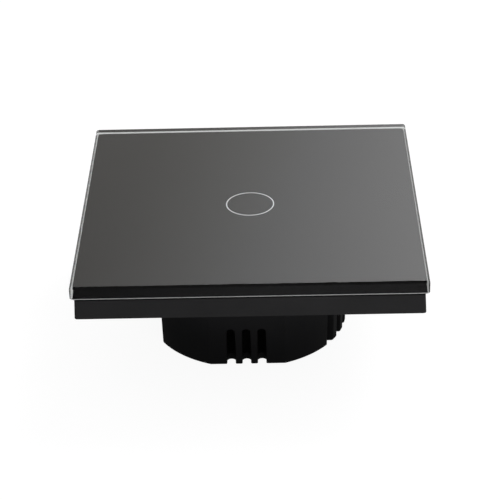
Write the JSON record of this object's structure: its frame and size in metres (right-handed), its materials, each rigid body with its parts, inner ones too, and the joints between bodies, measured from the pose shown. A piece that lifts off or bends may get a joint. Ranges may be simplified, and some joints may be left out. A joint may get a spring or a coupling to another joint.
{
  "type": "touch light switch",
  "caption": "Square glass touch light switch with a marked touch ring, a clip-on panel frame, a steel mounting plate and a round vented module for a flush wall box.",
  "frame": {"origin": "midway between the wall box's two screws, in the plane of the wall", "axes": "+Z out of the wall through the glass, +X to the right and +Y up as the switch is seen on the wall"},
  "size_m": [0.08, 0.08, 0.0326],
  "materials": {
    "panel_glass": "polished float glass with ground edges",
    "black_ink": "opaque black back print",
    "pale_ink": "translucent white back print",
    "adhesive_tape": "black foam tape",
    "frame_plastic": "fine satin moulded finish",
    "plated_steel": "zinc plated",
    "cover_plastic": "satin moulded finish",
    "clear_plastic": "frosted translucent",
    "circuit_board": "solder mask on glass epoxy",
    "copper": "bare copper",
    "lamp_body": "clear resin",
    "chip_plastic": "moulded epoxy",
    "chip_parts": "ceramic with tinned ends",
    "connector_plastic": "moulded",
    "brass_plain": "bright",
    "relay_plastic": "moulded",
    "enamelled_wire": "wound enamelled wire",
    "soft_iron": "plated",
    "film_case": "filled plastic box",
    "can_sleeve": "shrunk sleeve",
    "varistor_coat": "dipped epoxy",
    "resistor_coat": "flameproof coat",
    "terminal_plastic": "moulded",
    "housing_plastic": "moulded, lightly textured",
    "screw_steel": "zinc plated"
  },
  "bodies": {
    "module": {"mounting_plate": "plated_steel", "front_cover": "cover_plastic", "light_guide": "clear_plastic", "touch_board": "circuit_board", "touch_pad": "copper", "indicator_leds": "lamp_body", "touch_chip": "chip_plastic", "touch_board_parts": "chip_parts", "header_socket": "connector_plastic", "header_strip": "connector_plastic", "header_pins": "brass_plain", "power_board": "circuit_board", "relay_base": "connector_plastic", "relay_cover": "relay_plastic", "relay_coil": "enamelled_wire", "relay_yoke": "soft_iron", "relay_contacts": "copper", "film_capacitor": "film_case", "smoothing_capacitor": "can_sleeve", "varistor": "varistor_coat", "fuse_resistor": "resistor_coat", "bridge_rectifier": "chip_plastic", "terminal_block": "terminal_plastic", "terminal_bars": "brass_plain", "rear_housing": "housing_plastic", "housing_screws": "screw_steel"},
    "panel": {"glass_panel": "panel_glass", "back_print": "black_ink", "touch_ring": "pale_ink", "glass_tape": "adhesive_tape", "panel_frame": "frame_plastic"},
    "armature": {"relay_armature": "soft_iron", "relay_spring": "copper"},
    "screw_1": {"terminal_screw_1": "screw_steel"},
    "cage_1": {"clamp_cage_1": "brass_plain"},
    "screw_2": {"terminal_screw_2": "screw_steel"},
    "cage_2": {"clamp_cage_2": "brass_plain"},
    "screw_3": {"terminal_screw_3": "screw_steel"},
    "cage_3": {"clamp_cage_3": "brass_plain"}
  },
  "joints": [
    {"name": "panel_pull", "type": "slide", "parent": "module", "child": "panel", "axis": [0, 0, 1], "range_m": [0, 0.03]},
    {"name": "armature_tilt", "type": "hinge", "parent": "module", "child": "armature", "pos_m": [0.00491, -0.0068, -0.0151], "axis": [1, 0, 0], "range_deg": [0, 3], "stiffness_Nm_per_rad": 0.013, "springref_deg": -2.86},
    {"name": "terminal_turn_1", "type": "hinge", "parent": "module", "child": "screw_1", "pos_m": [-0.01568, -0.00707, -0.0168], "axis": [0, 0, 1], "range_deg": [0, 1800]},
    {"name": "clamp_rise_1", "type": "slide", "parent": "module", "child": "cage_1", "axis": [0, 0, -1], "range_m": [0, 0.0025]},
    {"name": "terminal_turn_2", "type": "hinge", "parent": "module", "child": "screw_2", "pos_m": [-0.01568, 0, -0.0168], "axis": [0, 0, 1], "range_deg": [0, 1800]},
    {"name": "clamp_rise_2", "type": "slide", "parent": "module", "child": "cage_2", "axis": [0, 0, -1], "range_m": [0, 0.0025]},
    {"name": "terminal_turn_3", "type": "hinge", "parent": "module", "child": "screw_3", "pos_m": [-0.01568, 0.00707, -0.0168], "axis": [0, 0, 1], "range_deg": [0, 1800]},
    {"name": "clamp_rise_3", "type": "slide", "parent": "module", "child": "cage_3", "axis": [0, 0, -1], "range_m": [0, 0.0025]}
  ],
  "couplings": [
    {"joint": "terminal_turn_1", "follows": "clamp_rise_1", "rad_per_m": 12566},
    {"joint": "terminal_turn_2", "follows": "clamp_rise_2", "rad_per_m": 12566},
    {"joint": "terminal_turn_3", "follows": "clamp_rise_3", "rad_per_m": 12566}
  ]
}
